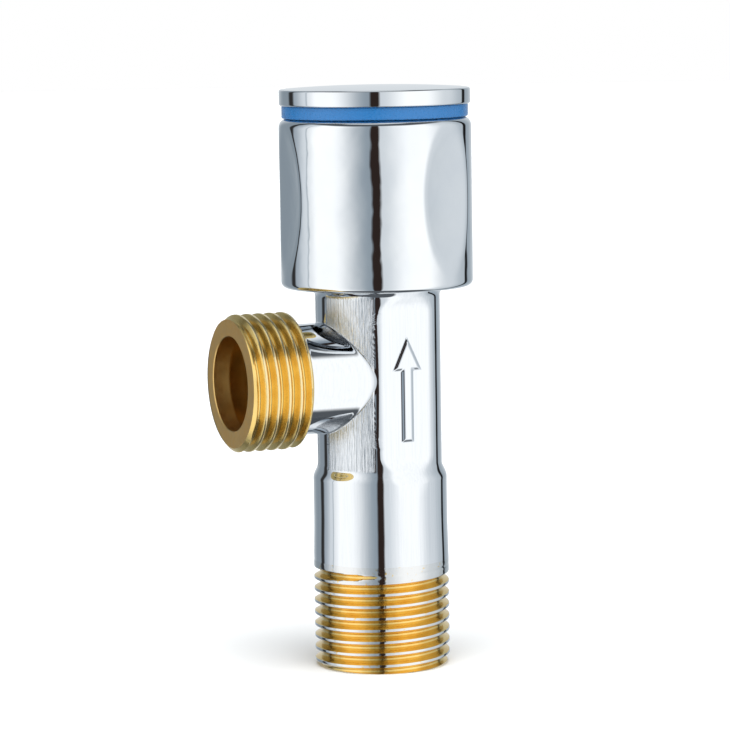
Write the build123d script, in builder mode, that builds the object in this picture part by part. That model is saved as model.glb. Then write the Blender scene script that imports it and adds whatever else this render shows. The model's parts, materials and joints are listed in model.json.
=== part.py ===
"""Quarter-turn angle stop valve, G 1/2 by G 1/2, as its separate pieces.

The origin is the centre of the inlet's end face. +Z runs up the stem and -X points out of the outlet.
"""
import os
from math import cos, pi, radians, sin, tan

from build123d import *

os.makedirs("parts", exist_ok=True)

# Pipe thread, G 1/2 form B, cut as rings of the true profile
thread_radius = 10.375
thread_pitch = 25.4 / 14
thread_depth = 1.06
thread_root_land = 0.30
thread_flank = 27.5
thread_chamfer = 0.675
first_groove = 1.30

# Valve body
inlet_thread_length = 15.5
barrel_radius = 10.22
waist_radius = 9.5
head_radius = 12.2
shoulder_bottom = 28.9
waist_bottom = 31.2
waist_top = 56.8
head_bottom = 60.4
head_top = 68.0
inlet_bore = 7.5
seat_bottom = 34.0
seat_top = 37.0
seat_port = 5.0
chamber_radius = 7.6
chamber_top = 60.8
headwork_radius = 10.0

outlet_height = 44.6
outlet_reach = 24.3
outlet_thread_length = 9.5
neck_radius = 8.4
outlet_bore = 7.15
outlet_bore_depth = 8.0
outlet_port = 6.2

panel_depth = 8.6
panel_bottom = 29.4
panel_top = 56.6
panel_width = 11.6
panel_corner = 4.4
arrow_length = 15.5
arrow_width = 4.5
arrow_relief = 0.35

# Cartridge, from the seat upwards
barrel_outer = 7.3
barrel_inner = 6.5
housing_bottom = 37.8
housing_shoulder = 56.0
housing_gasket_height = 1.0
hex_flats = 20.0
hex_height = 3.5
neck_outer = 6.2
neck_height = 2.0
stem_radius = 4.5
stem_clearance = 0.05
window_width = 9.0
window_bottom = 45.4
window_top = 52.4
headwork_pitch = 1.0

seal_outer = 6.4
seal_inner = 4.7
seal_height = 2.4
support_wall = 0.4
disc_radius = 6.35
disc_height = 2.6
disc_gap = 0.02
disc_opening_span = 72
disc_opening_outer = 4.5
disc_opening_inner = 1.6
disc_ear_width = 3.0
disc_ear_reach = 7.2
disc_slot_width = 4.6
disc_slot_depth = 1.4

foot_width = 4.4
foot_length = 12.2
foot_height = 3.6
shaft_radius = 3.0
flange_bottom = 52.2
flange_top = 54.9
friction_ring_height = 1.0
o_ring_section = 0.75
o_ring_heights = {"lower": 61.0, "upper": 66.0}
o_ring_groove_width = 2.0
clip_thickness = 0.7
clip_groove_depth = 0.6
clip_outer = 5.8
clip_gap = 60
spline_radius = 4.0
spline_depth = 0.35
spline_teeth = 20
spline_clearance = 0.05
spline_length = 4.2
screw_radius = 2.0
screw_length = 11.5

stop_washer_radius = 7.0
stop_washer_height = 1.0
stop_inner = 6.5
stop_outer = 8.6
stop_tab_span = 30
travel = 90
stop_play = 1.0

# Handle
handle_radius = 14.6
handle_bottom = 58.2
handle_top = 83.85
handle_top_round = 1.4
handle_bottom_round = 0.9
skirt_inner = 12.7
web_bottom = 78.4
web_top = 81.2
hub_radius = 7.4
hub_bottom = 77.2
scallop_radius = 55.0
scallop_depth = 1.06
scallop_height = 72.0
scallop_directions = (176, 56, -64)
recess_radius = 12.6
insert_flats = 10.6
insert_web = 1.2
ring_radius = 14.13
ring_bore = 11.3
ring_height = 1.9
ring_skirt = 2.2
cap_radius = 14.5
cap_height = 2.45
cap_crown = 0.45
cap_crown_flat = 2.0
cap_edge_round = 0.3
cap_plug_wall = 1.45
cap_plug_depth = 3.3
cap_o_ring_section = 0.55
washer_radius = 3.8
washer_height = 0.9
screw_head_radius = 4.0
screw_head_height = 2.3

# Heights that follow from the stack
hex_bottom = head_top + housing_gasket_height
hex_top = hex_bottom + hex_height
housing_top = hex_top + neck_height
fixed_disc_bottom = seat_top + seal_height
moving_disc_bottom = fixed_disc_bottom + disc_height + disc_gap
moving_disc_top = moving_disc_bottom + disc_height
clip_groove_width = clip_thickness + 0.1
clip_bottom = housing_top + 0.15
stem_top = clip_bottom + clip_thickness + 0.35
insert_bottom = stem_top + stop_washer_height
spindle_top = stem_top + spline_length
ring_top = handle_top + ring_height


def shoulder(low, high):
    """Two tangent arcs that step from one radius to another."""
    middle = ((low[0] + high[0]) / 2, (low[1] + high[1]) / 2)
    TangentArc(low, middle, tangent=(0, 1))
    TangentArc(high, middle, tangent=(0, -1))


def rim(radius, bottom, top, bottom_round, top_round):
    """The outline of a disc or skirt, from the centre of its underside to its rounded top rim."""
    low = [(0, bottom), (radius - bottom_round, bottom), (radius, bottom + bottom_round)]
    high = [(radius, top - top_round), (radius - top_round, top)]
    Line(low[0], low[1])
    TangentArc(low[1], low[2], tangent=(1, 0))
    Line(low[2], high[0])
    TangentArc(high[0], high[1], tangent=(0, 1))


def thread_grooves(length):
    """Sections of the thread's rings in the current sketch, whose X is the radius and Y the length."""
    root = thread_root_land / 2
    mouth = root + thread_depth * tan(radians(thread_flank))
    spill = 1.0
    count = int((length - first_groove) / thread_pitch) + 1
    for turn in range(count):
        with Locations((thread_radius, first_groove + turn * thread_pitch)):
            Polygon(
                (-thread_depth, -root),
                (-thread_depth, root),
                (0, mouth),
                (spill, mouth),
                (spill, -mouth),
                (0, -mouth),
                align=None,
            )


def sector(inner, outer, middle, span):
    """A slice of a ring, in the current sketch."""
    start = middle - span / 2
    near = Edge.make_circle(inner, start_angle=start, end_angle=start + span)
    far = Edge.make_circle(outer, start_angle=start, end_angle=start + span)
    sides = [Edge.make_line(near @ end, far @ end) for end in (0, 1)]
    make_face([near, far, *sides])


def spline_profile(clearance, mode=Mode.ADD):
    """The toothed outline of the stem, or of a hole that takes it."""
    corners = []
    for step in range(2 * spline_teeth):
        depth = spline_depth if step % 2 else 0
        reach = spline_radius + clearance - depth
        angle = pi * step / spline_teeth
        corners.append((reach * cos(angle), reach * sin(angle)))
    Polygon(*corners, align=None, mode=mode)


def ring(inner, outer):
    """A flat ring on the stem's axis, in the current sketch."""
    Circle(outer)
    Circle(inner, mode=Mode.SUBTRACT)


def save(piece, label):
    piece.part.label = label
    export_step(piece.part, f"parts/{label}.step")


# Forged brass body: threaded inlet, barrel, waist with two flat panels, head, and the side outlet
outlet_plane = Plane(origin=(0, 0, outlet_height), x_dir=(0, 0, 1), z_dir=(0, -1, 0))
outlet_axis = Axis((0, 0, outlet_height), (-1, 0, 0))
outlet_back = outlet_reach - outlet_thread_length

with BuildPart() as valve_body:
    with BuildSketch(Plane.XZ):
        with BuildLine():
            Polyline(
                (0, head_top),
                (0, 0),
                (thread_radius - thread_chamfer, 0),
                (thread_radius, thread_chamfer),
                (thread_radius, inlet_thread_length),
                (barrel_radius, inlet_thread_length + 0.2),
                (barrel_radius, shoulder_bottom),
            )
            shoulder((barrel_radius, shoulder_bottom), (waist_radius, waist_bottom))
            Line((waist_radius, waist_bottom), (waist_radius, waist_top))
            shoulder((waist_radius, waist_top), (head_radius, head_bottom))
            Polyline((head_radius, head_bottom), (head_radius, head_top), (0, head_top))
        make_face()
    revolve(axis=Axis.Z)
    for side in (1, -1):
        with BuildSketch(Plane.XZ.offset(side * panel_depth)):
            with Locations((0, (panel_bottom + panel_top) / 2)):
                RectangleRounded(panel_width, panel_top - panel_bottom, panel_corner)
        extrude(amount=side * (head_radius - panel_depth), mode=Mode.SUBTRACT)
    with BuildSketch(outlet_plane):
        with BuildLine():
            Polyline(
                (0, 0),
                (neck_radius, 0),
                (neck_radius, outlet_back),
                (thread_radius, outlet_back),
                (thread_radius, outlet_reach - thread_chamfer),
                (thread_radius - thread_chamfer, outlet_reach),
                (0, outlet_reach),
                (0, 0),
            )
        make_face()
    revolve(axis=outlet_axis)
    with BuildSketch(Plane.XZ):
        thread_grooves(inlet_thread_length)
    revolve(axis=Axis.Z, mode=Mode.SUBTRACT)
    face_plane = Plane(origin=(-outlet_reach, 0, outlet_height), x_dir=(0, 0, 1), z_dir=(0, 1, 0))
    with BuildSketch(face_plane):
        thread_grooves(outlet_thread_length)
    revolve(axis=outlet_axis, mode=Mode.SUBTRACT)
    # Waterways
    for radius, bottom, top in (
        (inlet_bore, 0, seat_bottom),
        (seat_port, seat_bottom, seat_top),
        (chamber_radius, seat_top, chamber_top),
        (headwork_radius, chamber_top, head_top),
    ):
        with BuildSketch(Plane.XY.offset(bottom)):
            Circle(radius)
        extrude(amount=top - bottom, mode=Mode.SUBTRACT)
    with BuildSketch(Plane.YZ.offset(-outlet_reach)):
        with Locations((0, outlet_height)):
            Circle(outlet_bore)
    extrude(amount=outlet_bore_depth, mode=Mode.SUBTRACT)
    with BuildSketch(Plane.YZ.offset(-outlet_reach)):
        with Locations((0, outlet_height)):
            Circle(outlet_port)
    extrude(amount=outlet_reach - seat_port, mode=Mode.SUBTRACT)
    # Plain raised arrow on the front panel, pointing the way the water rises
    with BuildSketch(Plane.XZ.offset(panel_depth)):
        with Locations((0, outlet_height - 1.6)):
            Polygon(
                (-arrow_width / 6, -arrow_length / 2),
                (arrow_width / 6, -arrow_length / 2),
                (arrow_width / 6, arrow_length / 5),
                (arrow_width / 2, arrow_length / 5),
                (0, arrow_length / 2),
                (-arrow_width / 2, arrow_length / 5),
                (-arrow_width / 6, arrow_length / 5),
                align=None,
            )
    extrude(amount=arrow_relief)
save(valve_body, "valve_body")

# Brass cartridge housing that screws into the head and carries the stem
with BuildPart() as cartridge_housing:
    with BuildSketch(Plane.XZ):
        Polygon(
            (0, housing_bottom),
            (barrel_outer, housing_bottom),
            (barrel_outer, chamber_top + 0.6),
            (headwork_radius - 0.8, chamber_top + 0.6),
            (headwork_radius, chamber_top + 1.4),
            (headwork_radius, hex_bottom),
            (0, hex_bottom),
            align=None,
        )
    revolve(axis=Axis.Z)
    with BuildSketch(Plane.XZ):
        for turn in range(4):
            with Locations((headwork_radius, chamber_top + 2.4 + turn * headwork_pitch)):
                Triangle(a=1.0, B=60, C=60, rotation=90)
    revolve(axis=Axis.Z, mode=Mode.SUBTRACT)
    with BuildSketch(Plane.XY.offset(hex_bottom)):
        RegularPolygon(hex_flats / 2, 6, major_radius=False)
    extrude(amount=hex_height)
    with BuildSketch(Plane.XY.offset(hex_top)):
        Circle(neck_outer)
    extrude(amount=neck_height)
    # The travel stop fills all but the sweep of the stop washer's tab
    with BuildSketch(Plane.XY.offset(hex_top)):
        sector(
            neck_outer - 0.2,
            stop_outer,
            travel / 2 + 180,
            360 - travel - stop_tab_span - 2 * stop_play,
        )
    extrude(amount=neck_height - 0.4)
    with BuildSketch(Plane.XY.offset(housing_bottom)):
        Circle(barrel_inner)
    extrude(amount=housing_shoulder - housing_bottom, mode=Mode.SUBTRACT)
    with BuildSketch(Plane.XY.offset(housing_shoulder)):
        Circle(stem_radius + stem_clearance)
    extrude(amount=housing_top - housing_shoulder, mode=Mode.SUBTRACT)
    with BuildSketch(Plane.YZ.offset(-barrel_outer)):
        with Locations((0, (window_bottom + window_top) / 2)):
            RectangleRounded(window_width, window_top - window_bottom, 1.5)
    extrude(amount=2 * barrel_outer, mode=Mode.SUBTRACT)
    with BuildSketch(Plane.XY.offset(housing_bottom)):
        Rectangle(disc_ear_width + 0.1, 2 * barrel_outer + 1)
    extrude(amount=fixed_disc_bottom + disc_height - housing_bottom, mode=Mode.SUBTRACT)
save(cartridge_housing, "cartridge_housing")

with BuildPart() as housing_gasket:
    with BuildSketch(Plane.XY.offset(head_top)):
        ring(headwork_radius, head_radius - 0.2)
    extrude(amount=housing_gasket_height)
save(housing_gasket, "housing_gasket")

# Rubber seat seal, with a thin ring inside that keeps it from collapsing
with BuildPart() as seat_seal:
    with BuildSketch(Plane.XY.offset(seat_top)):
        ring(seal_inner, seal_outer)
    extrude(amount=seal_height)
    with BuildSketch(Plane.XZ):
        with Locations((seal_outer, seat_top + 1.5)):
            Circle(0.3)
    revolve(axis=Axis.Z, mode=Mode.SUBTRACT)
save(seat_seal, "seat_seal")

with BuildPart() as seal_support_ring:
    with BuildSketch(Plane.XY.offset(seat_top + 0.3)):
        ring(seal_inner - support_wall, seal_inner)
    extrude(amount=seal_height - 0.5)
save(seal_support_ring, "seal_support_ring")

# Ceramic discs: two openings each, a quarter turn apart while the valve is shut
with BuildPart() as fixed_disc:
    with BuildSketch(Plane.XY.offset(fixed_disc_bottom)):
        Circle(disc_radius)
        Rectangle(disc_ear_width, 2 * disc_ear_reach)
    extrude(amount=disc_height)
    for middle in (0, 180):
        with BuildSketch(Plane.XY.offset(fixed_disc_bottom)):
            sector(disc_opening_inner, disc_opening_outer, middle, disc_opening_span)
        extrude(amount=disc_height, mode=Mode.SUBTRACT)
save(fixed_disc, "fixed_disc")

with BuildPart() as moving_disc:
    with BuildSketch(Plane.XY.offset(moving_disc_bottom)):
        Circle(disc_radius)
    extrude(amount=disc_height)
    for middle in (90, 270):
        with BuildSketch(Plane.XY.offset(moving_disc_bottom)):
            sector(disc_opening_inner, disc_opening_outer, middle, disc_opening_span)
        extrude(amount=disc_height, mode=Mode.SUBTRACT)
    with BuildSketch(Plane.XY.offset(moving_disc_top - disc_slot_depth)):
        Rectangle(2 * disc_radius, disc_slot_width)
    extrude(amount=disc_slot_depth, mode=Mode.SUBTRACT)
save(moving_disc, "moving_disc")

# Brass spindle: foot in the moving disc's slot, flange, two ring grooves, clip groove, splined top
foot_bottom = moving_disc_top - disc_slot_depth + 0.1
with BuildPart() as spindle:
    with BuildSketch(Plane.XY.offset(foot_bottom)):
        Circle(foot_length / 2)
        Rectangle(foot_length, foot_width, mode=Mode.INTERSECT)
    extrude(amount=foot_height)
    for radius, bottom, top in (
        (shaft_radius, foot_bottom + foot_height, flange_bottom),
        (foot_length / 2, flange_bottom, flange_top),
        (stem_radius, flange_top, stem_top),
    ):
        with BuildSketch(Plane.XY.offset(bottom)):
            Circle(radius)
        extrude(amount=top - bottom)
    for height in o_ring_heights.values():
        with BuildSketch(Plane.XY.offset(height - o_ring_groove_width / 2)):
            Circle(stem_radius + 1)
            Circle(stem_radius - 2 * o_ring_section - stem_clearance, mode=Mode.SUBTRACT)
        extrude(amount=o_ring_groove_width, mode=Mode.SUBTRACT)
    with BuildSketch(Plane.XY.offset(clip_bottom - 0.05)):
        Circle(stem_radius + 1)
        Circle(stem_radius - clip_groove_depth, mode=Mode.SUBTRACT)
    extrude(amount=clip_groove_width, mode=Mode.SUBTRACT)
    with BuildSketch(Plane.XY.offset(stem_top)):
        spline_profile(0)
    extrude(amount=spline_length)
    with BuildSketch(Plane.XY.offset(spindle_top)):
        Circle(screw_radius)
    extrude(amount=-(screw_length - 1), mode=Mode.SUBTRACT)
save(spindle, "spindle")

for name, height in o_ring_heights.items():
    with BuildPart() as spindle_o_ring:
        with BuildSketch(Plane.XZ):
            with Locations((stem_radius - o_ring_section - 0.03, height)):
                Circle(o_ring_section)
        revolve(axis=Axis.Z)
    save(spindle_o_ring, f"spindle_o_ring_{name}")

with BuildPart() as friction_ring:
    with BuildSketch(Plane.XY.offset(flange_top)):
        ring(stem_radius, foot_length / 2)
    extrude(amount=friction_ring_height)
save(friction_ring, "friction_ring")

with BuildPart() as spindle_circlip:
    with BuildSketch(Plane.XY.offset(clip_bottom)):
        sector(stem_radius - clip_groove_depth, clip_outer, 180, 360 - clip_gap)
    extrude(amount=clip_thickness)
save(spindle_circlip, "spindle_circlip")

# Stop washer, whose tab hangs down into the gap of the housing's travel stop
with BuildPart() as stop_washer:
    with BuildSketch(Plane.XY.offset(stem_top)):
        Circle(stop_washer_radius)
        sector(stop_inner, stop_outer, 0, stop_tab_span)
        spline_profile(spline_clearance, mode=Mode.SUBTRACT)
    extrude(amount=stop_washer_height)
    with BuildSketch(Plane.XY.offset(hex_top + 0.3)):
        sector(stop_inner, stop_outer, 0, stop_tab_span)
    extrude(amount=stem_top - hex_top)
save(stop_washer, "stop_washer")

# Moulded insert that carries the handle on the spline
with BuildPart() as spline_insert:
    with BuildSketch(Plane.XY.offset(insert_bottom)):
        RegularPolygon(insert_flats / 2, 6, major_radius=False)
    extrude(amount=web_top - insert_bottom)
    with BuildSketch(Plane.XY.offset(insert_bottom)):
        spline_profile(spline_clearance)
    extrude(amount=web_top - insert_web - insert_bottom, mode=Mode.SUBTRACT)
    with BuildSketch(Plane.XY.offset(web_top)):
        Circle(screw_radius + 0.2)
    extrude(amount=-insert_web, mode=Mode.SUBTRACT)
save(spline_insert, "spline_insert")

# Die-cast handle: open skirt, web and hub, recessed top and three shallow finger scallops
with BuildPart() as handle_shell:
    with BuildSketch(Plane.XZ):
        with BuildLine():
            rim(handle_radius, handle_bottom, handle_top, handle_bottom_round, handle_top_round)
            Polyline((handle_radius - handle_top_round, handle_top), (0, handle_top), (0, handle_bottom))
        make_face()
    revolve(axis=Axis.Z)
    scallop_centre = handle_radius - scallop_depth + scallop_radius
    for direction in scallop_directions:
        place = (
            scallop_centre * cos(radians(direction)),
            scallop_centre * sin(radians(direction)),
            scallop_height,
        )
        with Locations(place):
            Sphere(scallop_radius, mode=Mode.SUBTRACT)
    with BuildSketch(Plane.XY.offset(handle_bottom)):
        Circle(skirt_inner)
    extrude(amount=web_bottom - handle_bottom, mode=Mode.SUBTRACT)
    with BuildSketch(Plane.XY.offset(web_top)):
        Circle(recess_radius)
    extrude(amount=handle_top - web_top, mode=Mode.SUBTRACT)
    with BuildSketch(Plane.XY.offset(hub_bottom)):
        Circle(hub_radius)
    extrude(amount=web_bottom - hub_bottom)
    with BuildSketch(Plane.XY.offset(hub_bottom)):
        RegularPolygon(insert_flats / 2, 6, major_radius=False)
    extrude(amount=web_top - hub_bottom, mode=Mode.SUBTRACT)
save(handle_shell, "handle_shell")

# Handle screw and its split lock washer
with BuildPart() as screw_lock_washer:
    with BuildSketch(Plane.XY.offset(web_top)):
        sector(screw_radius + 0.1, washer_radius, 180, 345)
    extrude(amount=washer_height)
save(screw_lock_washer, "screw_lock_washer")

screw_head_bottom = web_top + washer_height
with BuildPart() as handle_screw:
    with BuildSketch(Plane.XY.offset(screw_head_bottom)):
        Circle(screw_radius)
    extrude(amount=-screw_length)
    with BuildSketch(Plane.XY.offset(screw_head_bottom)):
        Circle(screw_head_radius)
    extrude(amount=screw_head_height)
    fillet(handle_screw.edges().filter_by(GeomType.CIRCLE).sort_by(Axis.Z)[-1], 1.2)
    with BuildSketch(Plane.XY.offset(screw_head_bottom + screw_head_height)):
        Rectangle(4.4, 0.9)
        Rectangle(0.9, 4.4)
    extrude(amount=-1.4, mode=Mode.SUBTRACT)
save(handle_screw, "handle_screw")

# Blue index ring, held in the handle's recess, and the chromed cap that plugs into it
with BuildPart() as index_ring:
    with BuildSketch(Plane.XY.offset(handle_top)):
        ring(ring_bore, ring_radius)
    extrude(amount=ring_height)
    with BuildSketch(Plane.XY.offset(handle_top - ring_skirt)):
        ring(ring_bore, recess_radius)
    extrude(amount=ring_skirt)
save(index_ring, "index_ring")

plug_radius = ring_bore - 0.05
crown_radius = cap_radius - cap_edge_round
cap_top = ring_top + cap_height
with BuildPart() as handle_cap:
    with BuildSketch(Plane.XZ):
        with BuildLine():
            rim(cap_radius, ring_top, cap_top, cap_edge_round, cap_edge_round)
            TangentArc((cap_crown_flat, cap_top + cap_crown), (crown_radius, cap_top), tangent=(1, 0))
            Polyline((cap_crown_flat, cap_top + cap_crown), (0, cap_top + cap_crown), (0, ring_top))
        make_face()
    revolve(axis=Axis.Z)
    with BuildSketch(Plane.XY.offset(ring_top - cap_plug_depth)):
        ring(plug_radius - cap_plug_wall, plug_radius)
    extrude(amount=cap_plug_depth)
    with BuildSketch(Plane.XY.offset(ring_top - 2.4)):
        Circle(plug_radius + 1)
        Circle(plug_radius - 2 * cap_o_ring_section, mode=Mode.SUBTRACT)
    extrude(amount=1.4, mode=Mode.SUBTRACT)
save(handle_cap, "handle_cap")

with BuildPart() as cap_o_ring:
    with BuildSketch(Plane.XZ):
        with Locations((plug_radius - cap_o_ring_section, ring_top - 1.7)):
            Circle(cap_o_ring_section)
    revolve(axis=Axis.Z)
save(cap_o_ring, "cap_o_ring")
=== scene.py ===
import json
import math

import bmesh
import bpy
import numpy as np
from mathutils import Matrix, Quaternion, Vector


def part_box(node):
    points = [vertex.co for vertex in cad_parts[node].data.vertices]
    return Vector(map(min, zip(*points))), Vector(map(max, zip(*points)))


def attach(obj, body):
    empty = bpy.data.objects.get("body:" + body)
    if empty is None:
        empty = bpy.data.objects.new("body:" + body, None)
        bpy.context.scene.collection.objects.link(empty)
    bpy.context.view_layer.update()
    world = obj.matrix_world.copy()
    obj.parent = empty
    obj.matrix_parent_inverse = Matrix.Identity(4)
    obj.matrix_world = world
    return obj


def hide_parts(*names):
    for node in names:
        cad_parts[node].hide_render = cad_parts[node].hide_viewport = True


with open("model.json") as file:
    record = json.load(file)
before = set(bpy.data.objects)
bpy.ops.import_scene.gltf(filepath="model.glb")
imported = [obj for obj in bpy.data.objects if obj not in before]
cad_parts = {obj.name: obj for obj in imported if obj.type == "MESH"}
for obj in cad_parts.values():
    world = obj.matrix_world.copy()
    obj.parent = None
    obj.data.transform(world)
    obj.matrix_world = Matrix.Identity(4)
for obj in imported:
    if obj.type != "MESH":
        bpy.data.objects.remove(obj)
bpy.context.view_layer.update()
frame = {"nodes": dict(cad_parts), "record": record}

scene = bpy.context.scene
scene.view_settings.view_transform = "Standard"

mounts = {mount["name"]: mount for mount in frame["record"]["mounts"]}
bodyLow, bodyHigh = (np.array(corner) * 1000 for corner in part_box("valve_body"))
outletHeight = mounts["outlet_thread"]["pos_m"][2] * 1000
outletReach = -bodyLow[0]
crestRadius = mounts["inlet_thread"]["dims"]["r_mm"]


def softMin(a, b, width):
    overlap = np.maximum(width - np.abs(a - b), 0) / width
    return np.minimum(a, b) - overlap * overlap * width / 4


def softMax(a, b, width):
    return -softMin(-a, -b, width)


def ease(t):
    t = np.clip(t, 0, 1)
    return t * t * (3 - 2 * t)


def newShell():
    return {"points": [], "faces": [], "zones": [], "worked": [], "count": 0}


def addPoints(shell, points, worked=0.0):
    points = np.asarray(points, float).reshape(-1, 3)
    shell["points"].append(points)
    shell["worked"].append(np.broadcast_to(worked, len(points)).astype(float))
    first = shell["count"]
    shell["count"] += len(points)
    return np.arange(first, shell["count"])


def skin(shell, near, far, zone=0):
    # quads between two closed rings; going from near to far keeps the outside on the same hand
    quads = np.stack([near, np.roll(near, -1), np.roll(far, -1), far], axis=1)
    shell["faces"].extend(quads.tolist())
    shell["zones"].extend([zone] * len(quads))


def skinAll(shell, rings, zone=0):
    for near, far in zip(rings, rings[1:]):
        skin(shell, near, far, zone)


def skinGrid(shell, grid, zone, hole=None, inside=False):
    # grid[row][column] closes round its columns; hole is the block of cells left out
    rows, columns = grid.shape
    for row in range(rows - 1):
        for column in range(columns):
            if hole and hole[0] <= row < hole[1] and hole[2] <= column < hole[3]:
                continue
            beside = (column + 1) % columns
            quad = [grid[row, column], grid[row, beside], grid[row + 1, beside], grid[row + 1, column]]
            shell["faces"].append([int(v) for v in (reversed(quad) if inside else quad)])
            shell["zones"].append(zone)


def finishPiece(name, shell, materials, body, stands=(), sharp=32):
    mesh = bpy.data.meshes.new(name)
    points = np.concatenate(shell["points"]) / 1000
    mesh.from_pydata(points.tolist(), [], shell["faces"])
    worked = mesh.attributes.new("worked", "FLOAT", "POINT")
    worked.data.foreach_set("value", np.concatenate(shell["worked"]).astype(np.float32))
    for material in materials:
        mesh.materials.append(material)
    mesh.polygons.foreach_set("material_index", np.array(shell["zones"], np.int32))
    merged = bmesh.new()
    merged.from_mesh(mesh)
    bmesh.ops.remove_doubles(merged, verts=merged.verts, dist=1e-6)
    merged.to_mesh(mesh)
    merged.free()
    mesh.shade_smooth()
    mesh.set_sharp_from_angle(angle=math.radians(sharp))
    piece = bpy.data.objects.new(name, mesh)
    scene.collection.objects.link(piece)
    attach(piece, body)
    if stands:
        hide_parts(*stands)
    return piece


def turned(shell, profile, angles, zones=None, closed=True):
    # a lathe shape from (radius, height) pairs that run anticlockwise round the section
    rings = []
    for radius, height in profile:
        ring = np.stack([-np.cos(angles) * radius, -np.sin(angles) * radius,
                         np.full(len(angles), height)], axis=1)
        rings.append(addPoints(shell, ring))
    if closed:
        rings.append(rings[0])
    for step, (near, far) in enumerate(zip(rings, rings[1:])):
        skin(shell, near, far, zones[step] if zones else 0)
    return rings


def rounded(centre, radius, start, end, steps=6):
    # points of an arc in the lathe section, angles in degrees
    spread = np.radians(np.linspace(start, end, steps + 1))
    return [(centre[0] + radius * math.cos(a), centre[1] + radius * math.sin(a)) for a in spread]


thread = {
    "pitch": 25.4 / 14,
    "depth": 1.06,
    "rootLand": 0.34,
    "flank": 27.5,      # degrees
    "rounding": 0.12,
    "faceRadius": crestRadius - 0.675,
}
# heights of the mesh's rows in one turn of thread, as shares of the pitch from the groove's middle
halfLevels = [0.05, 0.1, 0.15, 0.28, 0.35, 0.4, 0.44]
threadLevels = sorted([-0.5, 0.0] + halfLevels + [-level for level in halfLevels])


def threadCut(angle, along, offset, lastGroove, fade):
    # how deep the helical groove is at this place, right-handed, dying out at lastGroove
    pitch, depth, root = thread["pitch"], thread["depth"], thread["rootLand"] / 2
    slope = 1 / math.tan(math.radians(thread["flank"]))
    turns = angle / (2 * math.pi) + offset
    groove = pitch * (turns + np.round(along / pitch - turns))
    away = np.abs(along - groove)
    cut = softMin(np.full_like(away, depth), depth + (root - away) * slope, thread["rounding"])
    withdrawn = depth * (1 - ease((lastGroove - groove) / fade))
    return softMax(cut - withdrawn, np.zeros_like(cut), thread["rounding"])


def helixRows(shell, angles, low, high, offset, pointAt, radiusAt, zone):
    # a mesh whose rows climb with the helix, closed by a level ring at each end
    pitch, count, columns = thread["pitch"], len(threadLevels), len(angles)
    first = math.floor(low / pitch) - 2
    last = math.ceil(high / pitch) + 2
    lattice = np.array([turn + level for turn in range(first, last) for level in threadLevels]) + offset
    gap = pitch * 0.02
    columnsOf, ranges = [], []
    for angle in angles:
        along = pitch * (angle / (2 * math.pi) + lattice)
        inside = np.nonzero((along > low + gap) & (along < high - gap))[0]
        along = along[inside]
        radius, worked = radiusAt(np.full_like(along, angle), along)
        columnsOf.append(addPoints(shell, pointAt(angle, along, radius), worked))
        ranges.append((inside[0], inside[-1]))
    ends = []
    for level in (low, high):
        radius, worked = radiusAt(angles, np.full_like(angles, level))
        ends.append(addPoints(shell, pointAt(angles, level, radius), worked))
    for here in range(columns):
        there = (here + 1) % columns
        shift = count if there == 0 else 0

        def leftSide(k):
            return int(columnsOf[here][k - ranges[here][0]])

        def rightSide(k):
            return int(columnsOf[there][k + shift - ranges[there][0]])

        leftLow, leftHigh = ranges[here]
        rightLow, rightHigh = ranges[there][0] - shift, ranges[there][1] - shift
        bottom, top = max(leftLow, rightLow), min(leftHigh, rightHigh)
        for k in range(bottom, top):
            shell["faces"].append([leftSide(k), rightSide(k), rightSide(k + 1), leftSide(k + 1)])
            shell["zones"].append(zone)
        lowFace = [int(ends[0][here]), int(ends[0][there])]
        lowFace += [rightSide(k) for k in range(rightLow, bottom + 1)]
        lowFace += [leftSide(k) for k in range(bottom, leftLow - 1, -1)]
        highFace = [leftSide(k) for k in range(leftHigh, top - 1, -1)]
        highFace += [rightSide(k) for k in range(top, rightHigh + 1)]
        highFace += [int(ends[1][there]), int(ends[1][here])]
        for face in (lowFace, highFace):
            shell["faces"].append(face)
            shell["zones"].append(zone)
    return ends


def linear(code):
    # sRGB hex to Blender's linear colour
    parts = [int(code[i:i + 2], 16) / 255 for i in (1, 3, 5)]
    return [v / 12.92 if v <= 0.04045 else ((v + 0.055) / 1.055) ** 2.4 for v in parts] + [1.0]


def perMetre(millimetres):
    # texture scale whose features are this far apart
    return 1000.0 / millimetres


def node(tree, kind, inputs, **settings):
    # adds one node; an input is a value or another node's output
    made = tree.nodes.new(kind)
    for key, value in settings.items():
        setattr(made, key, value)
    for key, value in inputs.items():
        if isinstance(value, bpy.types.NodeSocket):
            tree.links.new(value, made.inputs[key])
        else:
            made.inputs[key].default_value = value
    return made.outputs


def newMaterial(name, colour, metallic, roughness, **sockets):
    # the shader of a new material, the place each pattern is drawn in, and the tree they are in
    material = bpy.data.materials.new(name)
    material.use_nodes = True
    material.diffuse_color = linear(colour)
    tree = material.node_tree
    shader = next(n for n in tree.nodes if n.type == "BSDF_PRINCIPLED")
    values = {"Base Color": linear(colour), "Metallic": metallic, "Roughness": roughness, **sockets}
    for key, value in values.items():
        shader.inputs[key].default_value = value
    place = node(tree, "ShaderNodeTexCoord", {})["Object"]
    return material, tree, shader, place


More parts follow.
